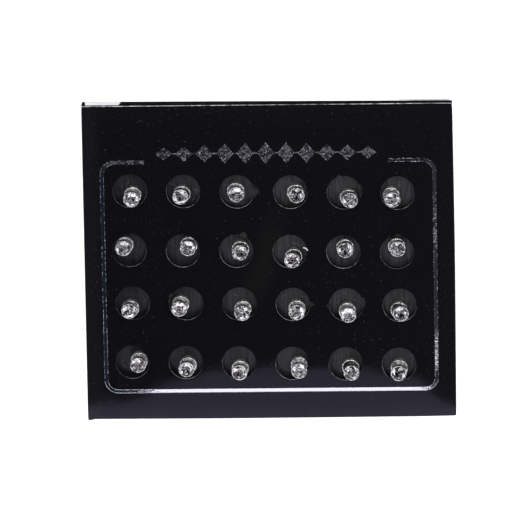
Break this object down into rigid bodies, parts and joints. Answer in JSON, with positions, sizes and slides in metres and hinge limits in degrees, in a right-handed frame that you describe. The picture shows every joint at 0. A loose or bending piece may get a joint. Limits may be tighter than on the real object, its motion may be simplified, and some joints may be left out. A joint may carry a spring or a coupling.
{
  "type": "magnetic stud earrings on display card",
  "caption": "Shallow black display card with punched holes that hold magnetic stud earrings, each a faceted crystal in a chrome cup on a round magnet.",
  "frame": {"origin": "middle of the card's underside, with the card lying on its back", "axes": "+X to the right along the card's width, +Y up the card, +Z out of its face, the way the crystals look"},
  "size_m": [0.096, 0.0856, 0.0067],
  "materials": {
    "gloss_board": "black gloss laminate with fine dust, pale paper core at the cut edges",
    "plain_board": "plain matte black board",
    "white_board": "uncoated white reverse of the board",
    "black_foam": "matte black foam sheet",
    "dark_sheet": "dark grey film with fine upright streaks",
    "silver_foil": "hot stamped silver foil, mottled and mirror-like",
    "chrome": "bright plated",
    "crystal": "clear faceted crystal, foiled behind",
    "nickel": "plain nickel plating"
  },
  "bodies": {
    "root": {"card_face": "gloss_board", "card_back": "plain_board", "side_tabs": "white_board", "spacer": "black_foam", "backing_sheet": "dark_sheet", "foil_frame": "silver_foil", "foil_ornament": "silver_foil", "back_magnets": "nickel", "setting_1_1": "chrome", "setting_1_2": "chrome", "setting_1_3": "chrome", "setting_1_4": "chrome", "setting_1_5": "chrome", "setting_1_6": "chrome", "setting_2_1": "chrome", "setting_2_2": "chrome", "setting_2_3": "chrome", "setting_2_4": "chrome", "setting_2_5": "chrome", "setting_2_6": "chrome", "setting_3_1": "chrome", "setting_3_2": "chrome", "setting_3_3": "chrome", "setting_3_4": "chrome", "setting_3_5": "chrome", "setting_3_6": "chrome", "setting_4_1": "chrome", "setting_4_2": "chrome", "setting_4_3": "chrome", "setting_4_4": "chrome", "setting_4_5": "chrome", "setting_4_6": "chrome", "stone_1_1": "crystal", "stone_1_2": "crystal", "stone_1_3": "crystal", "stone_1_4": "crystal", "stone_1_5": "crystal", "stone_1_6": "crystal", "stone_2_1": "crystal", "stone_2_2": "crystal", "stone_2_3": "crystal", "stone_2_4": "crystal", "stone_2_5": "crystal", "stone_2_6": "crystal", "stone_3_1": "crystal", "stone_3_2": "crystal", "stone_3_3": "crystal", "stone_3_4": "crystal", "stone_3_5": "crystal", "stone_3_6": "crystal", "stone_4_1": "crystal", "stone_4_2": "crystal", "stone_4_3": "crystal", "stone_4_4": "crystal", "stone_4_5": "crystal", "stone_4_6": "crystal"}
  },
  "joints": []
}
